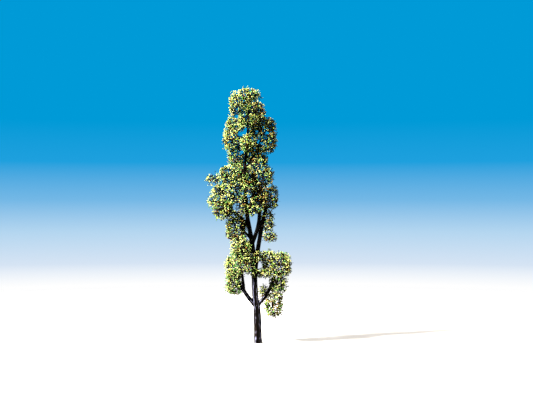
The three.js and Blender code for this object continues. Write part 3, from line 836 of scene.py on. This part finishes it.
def crumb_places(space, layer):
    """Scattered places of a mass's crumbs in one layer, with the radius of each."""
    pitch, radii, (least, most), fill = LAYERS[layer]
    chance = np.random.default_rng([space.index, *layer.encode()])
    half, middle = np.array(space.half), np.array(space.middle)
    axes = [np.arange(-GRID_REACH * reach, GRID_REACH * reach + pitch, pitch) for reach in half]
    grid = np.stack(np.meshgrid(*axes, indexing="ij"), -1).reshape(-1, 3)
    grid = grid + chance.uniform(-JITTER, JITTER, grid.shape) * pitch
    size = chance.uniform(*radii, len(grid))
    inside = np.ones(len(grid), bool)
    for direction, limit, _ in space.planes:
        inside &= grid @ np.array(direction) < limit
    grid, size = grid[inside], size[inside]
    place = grid + middle
    own = depth_share(space, place)
    reach = np.linalg.norm(grid, axis=1) / own
    blend = np.exp(-CLOSENESS * own)
    for other in space.neighbours:
        blend += np.exp(-CLOSENESS * depth_share(other, place))
    joined = -np.log(blend) / CLOSENESS
    lumps = mottle(place, *LUMP_PITCHES)
    deep = (OUTLINE + LUMPS * lumps - size / reach - joined) * reach
    keep = (least < deep) & (deep < most)
    keep &= mottle(place, *CAVE_PITCHES, CAVE_PHASE) > CAVES - CAVE_FADE * deep
    keep &= chance.uniform(0, 1, len(grid)) < fill * AIRY.get(space.name, 1)
    for across, height, radius in SKY_GAPS:
        off = np.hypot(place[:, 0] - across, place[:, 2] - height)
        keep &= off > radius * (1 + GAP_LUMPS * lumps) + size * GAP_CLEARANCE
    for x, y, z, radius in whole_limbs:
        keep &= np.linalg.norm(place - (x, y, z), axis=1) - radius > size * LIMB_CLEARANCE
    for x, y, z, radius in bare_limbs:
        covers = np.hypot(place[:, 0] - x, place[:, 2] - z) < radius + size * BARE_CLEARANCE
        keep &= ~(covers & (place[:, 1] < y))
    return place[keep], size[keep]


crumbs = {dye: ([], []) for dye in DYES}
fibre_points, fibre_edges = [], []
for space in spaces:
    chance = np.random.default_rng(DYE_SEED + space.index)
    shares = SHARES.get(space.name, EVEN)
    tufts = kdtree.KDTree(len(space.tufts))
    for number, tip in enumerate(space.tufts):
        tufts.insert(tip, number)
    tufts.balance()
    dye_of_tuft = chance.choice(list(DYES), len(space.tufts), p=shares)
    for layer in LAYERS:
        for place, size in zip(*crumb_places(space, layer)):
            dye = dye_of_tuft[tufts.find(place)[1]]
            # Crumbs under the surface take the inner shares, mostly the shade dye: painted shade inside the
            # mass.
            if layer == "inner":
                dye = chance.choice(list(DYES), p=INNER_PAINTED_SHADE)
            elif chance.uniform() < OWN_DYE:
                dye = chance.choice(list(DYES), p=shares)
            places, sizes = crumbs[dye]
            places.append(place)
            sizes.append(size * MM)
            if layer == "stray":
                fibre_edges.append((len(fibre_points), len(fibre_points) + 1))
                fibre_points += [place, place + (np.array(space.middle) - place) * STRAY_FIBRE]

fibre_radii = {"radius": [STRAY_FIBRE_RADIUS * MM] * len(fibre_points)}
fibres = grown_piece("crumb_fibres", twig_growth, fibre_points, fibre_edges, fibre_radii, twig_inputs)
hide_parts(*MASSES)
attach(fibres, "root")


TORN_EDGE = (248, 242, 166)
# The pores' near-black colour is painted shade in the foam's small holes.
PORE = (18, 16, 8)
PALE, PALE_IN_SHADE = 0.4, 0.05  # most of the torn edges' colour in a crumb, and in the painted-shade crumbs of the shade dye


def foam_pores():
    """Shader group: the dye broken up by paler torn edges and by pores of painted shade, with the bump of the
    pores.
    """
    group = bpy.data.node_groups.new("Foam pores", "ShaderNodeTree")
    for label, kind, value in (
        ("Dye", "NodeSocketColor", (0.5, 0.5, 0.3, 1)),
        ("Pale", "NodeSocketFloat", 0.35),
        ("Pore", "NodeSocketFloat", 0.5),
    ):
        group.interface.new_socket(label, in_out="INPUT", socket_type=kind).default_value = value
    group.interface.new_socket("Color", in_out="OUTPUT", socket_type="NodeSocketColor")
    group.interface.new_socket("Normal", in_out="OUTPUT", socket_type="NodeSocketVector")
    nodes, link = group.nodes, group.links.new
    given, result = nodes.new("NodeGroupInput"), nodes.new("NodeGroupOutput")
    place = nodes.new("ShaderNodeTexCoord")
    patches = nodes.new("ShaderNodeTexNoise")
    patches.inputs["Scale"].default_value = 900
    patches.inputs["Detail"].default_value = 3
    link(place.outputs["Object"], patches.inputs["Vector"])
    pores = nodes.new("ShaderNodeTexVoronoi")
    pores.inputs["Scale"].default_value = 3400
    link(place.outputs["Object"], pores.inputs["Vector"])
    torn = nodes.new("ShaderNodeMapRange")
    torn.inputs["From Min"].default_value = 0.45
    torn.inputs["From Max"].default_value = 0.7
    link(patches.outputs["Fac"], torn.inputs["Value"])
    link(given.outputs["Pale"], torn.inputs["To Max"])
    pale = nodes.new("ShaderNodeMix")
    pale.data_type = "RGBA"
    link(torn.outputs["Result"], pale.inputs["Factor"])
    link(given.outputs["Dye"], pale.inputs["A"])
    pale.inputs["B"].default_value = linear_color(TORN_EDGE)
    hollow = nodes.new("ShaderNodeMapRange")
    hollow.inputs["From Min"].default_value = 0.35
    hollow.inputs["From Max"].default_value = 0.05
    link(pores.outputs["Distance"], hollow.inputs["Value"])
    link(given.outputs["Pore"], hollow.inputs["To Max"])
    dark = nodes.new("ShaderNodeMix")
    dark.data_type = "RGBA"
    link(hollow.outputs["Result"], dark.inputs["Factor"])
    link(pale.outputs["Result"], dark.inputs["A"])
    dark.inputs["B"].default_value = linear_color(PORE)
    link(dark.outputs["Result"], result.inputs["Color"])
    bump = nodes.new("ShaderNodeBump")
    bump.inputs["Strength"].default_value = 0.5
    bump.inputs["Distance"].default_value = 0.0001
    link(pores.outputs["Distance"], bump.inputs["Height"])
    link(bump.outputs["Normal"], result.inputs["Normal"])
    return group


def foam(dye, color, pores):
    """Dull foam of one dye with its torn edges and pores."""
    material = plain_material(f"{dye}_foam", color, 0.95, specular=0.02)
    shader = material.node_tree.nodes["Principled BSDF"]
    broken = material.node_tree.nodes.new("ShaderNodeGroup")
    broken.node_tree = pores
    broken.inputs["Dye"].default_value = linear_color(color)
    broken.inputs["Pale"].default_value = PALE_IN_SHADE if dye == "shade" else PALE
    material.node_tree.links.new(broken.outputs["Color"], shader.inputs["Base Color"])
    material.node_tree.links.new(broken.outputs["Normal"], shader.inputs["Normal"])
    return material


MOST_CRUMBS = 4800  # in one piece, which keeps it under 200,000 triangles
crumb_growth, pores = crumb_tree(), foam_pores()
for number, (dye, (places, sizes)) in enumerate(crumbs.items()):
    material = foam(dye, DYES[dye], pores)
    parts = math.ceil(len(places) / MOST_CRUMBS)
    for part in range(parts):
        own_sizes = {"size": sizes[part::parts]}
        piece = grown_piece(f"crumbs_{dye}_{part + 1}", crumb_growth, places[part::parts], [], own_sizes, {
            "Dent": 0.3,
            "Squash": 0.7,
            "Seed": 10 * number + part,
            "Material": material,
        })
        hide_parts(*MASSES)
        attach(piece, "root")


# Stage
# A plain white floor and a round backdrop that fades from white to blue, which aren't part of the tree. The
# main light comes from the upper left and a little from the front, as in the photograph.

BACKDROP_RADIUS = 0.9
BACKDROP_HEIGHT = 0.42
BACKDROP_SIDES = 96
BACKDROP_FADE = [  # share of the backdrop's height, and colour
    (0.0, (214, 228, 244)),
    (0.1, (180, 214, 240)),
    (0.2, (116, 184, 230)),
    (0.32, (30, 160, 222)),
    (0.45, (0, 154, 215)),
]
FLOOR_FADE = [  # share of the floor's radius, and colour
    (0.0, (255, 255, 255)),
    (0.56, (255, 255, 255)),
    (1.0, (214, 228, 244)),
]
GLOW_FROM, GLOW_TO = 0.3, 0.5  # share of the floor's radius over which its own glow sets in
LIGHTS = {  # energy, width in degrees, colour, and where it stands from the tree
    "key": (16.8, 9, (1.0, 0.96, 0.88), (-0.79, -0.42, 0.7)),
    "fill": (2.2, 20, (0.92, 0.95, 1.0), (-0.25, 0.92, 0.35)),
    "side": (2.2, 30, (1.0, 0.88, 0.72), (0.62, 0.22, 0.75)),
}


def stage_piece(name, points, faces, material):
    """A piece of the stage, which isn't part of the tree."""
    mesh = bpy.data.meshes.new(name)
    mesh.from_pydata(points, [], faces)
    mesh.materials.append(material)
    piece = bpy.data.objects.new(name, mesh)
    bpy.context.scene.collection.objects.link(piece)
    return piece


def fading_paper(name, fade, size, of_radius):
    """White paper with a glow that fades through colours with the height or the distance from the tree."""
    paper = plain_material(name, (240, 240, 240), 0.9)
    nodes, links = paper.node_tree.nodes, paper.node_tree.links
    place = nodes.new("ShaderNodeTexCoord")
    flat = nodes.new("ShaderNodeVectorMath")
    flat.operation = "MULTIPLY"
    flat.inputs[1].default_value = (1, 1, 0) if of_radius else (0, 0, 1)
    links.new(place.outputs["Object"], flat.inputs[0])
    far = nodes.new("ShaderNodeVectorMath")
    far.operation = "LENGTH"
    links.new(flat.outputs["Vector"], far.inputs[0])
    share = nodes.new("ShaderNodeMath")
    share.operation = "DIVIDE"
    share.inputs[1].default_value = size
    links.new(far.outputs["Value"], share.inputs[0])
    ramp = nodes.new("ShaderNodeValToRGB")
    fill_ramp(ramp, fade)
    links.new(share.outputs[0], ramp.inputs["Fac"])
    glow = nodes.new("ShaderNodeEmission")
    links.new(ramp.outputs["Color"], glow.inputs["Color"])
    mixed = nodes.new("ShaderNodeMixShader")
    if of_radius:
        rim = nodes.new("ShaderNodeMapRange")
        rim.inputs["From Min"].default_value = GLOW_FROM
        rim.inputs["From Max"].default_value = GLOW_TO
        links.new(share.outputs[0], rim.inputs["Value"])
        links.new(rim.outputs["Result"], mixed.inputs["Fac"])
    else:
        mixed.inputs["Fac"].default_value = 1
    links.new(nodes["Principled BSDF"].outputs["BSDF"], mixed.inputs[1])
    links.new(glow.outputs["Emission"], mixed.inputs[2])
    links.new(mixed.outputs["Shader"], nodes["Material Output"].inputs["Surface"])
    return paper


ring = [
    (BACKDROP_RADIUS * math.cos(turn), BACKDROP_RADIUS * math.sin(turn), height)
    for height in (0, BACKDROP_HEIGHT)
    for turn in np.linspace(0, math.tau, BACKDROP_SIDES, endpoint=False)
]
foot = range(BACKDROP_SIDES)
walls = [(a, b, b + BACKDROP_SIDES, a + BACKDROP_SIDES) for a, b in zip(foot, (*foot[1:], 0))]
floor_paper = fading_paper("white_floor", FLOOR_FADE, BACKDROP_RADIUS, True)
backdrop_paper = fading_paper("backdrop_paper", BACKDROP_FADE, BACKDROP_HEIGHT, False)
floor = stage_piece("floor", ring[:BACKDROP_SIDES], [foot], floor_paper)
backdrop = stage_piece("backdrop", ring, walls, backdrop_paper)
for paper in (floor, backdrop):
    paper.visible_diffuse = False
    paper.visible_glossy = False
backdrop.visible_shadow = False

world = bpy.data.worlds.new("surround")
bpy.context.scene.world = world
world.use_nodes = True
world.node_tree.nodes["Background"].inputs["Color"].default_value = linear_color((222, 226, 236))
world.node_tree.nodes["Background"].inputs["Strength"].default_value = 0.1

for name, (energy, angle, color, place) in LIGHTS.items():
    light = bpy.data.lights.new(name, "SUN")
    light.energy, light.angle, light.color = energy, math.radians(angle), color
    sun = bpy.data.objects.new(name, light)
    sun.rotation_euler = Vector(place).to_track_quat("Z", "Y").to_euler()
    bpy.context.scene.collection.objects.link(sun)

# The camera stands 700 mm in front of the tree and 84 mm up and looks level at it, as in the photograph.
camera_data = bpy.data.cameras.new("camera")
camera_data.lens = 80.5
camera_data.sensor_width = 36
camera_data.clip_start = 0.01
camera = bpy.data.objects.new("camera", camera_data)
camera.location = (0.0049, -0.7, 0.084)
camera.rotation_euler = (math.pi / 2, 0, 0)
bpy.context.scene.collection.objects.link(camera)
bpy.context.scene.camera = camera
bpy.context.scene.view_settings.view_transform = "Standard"
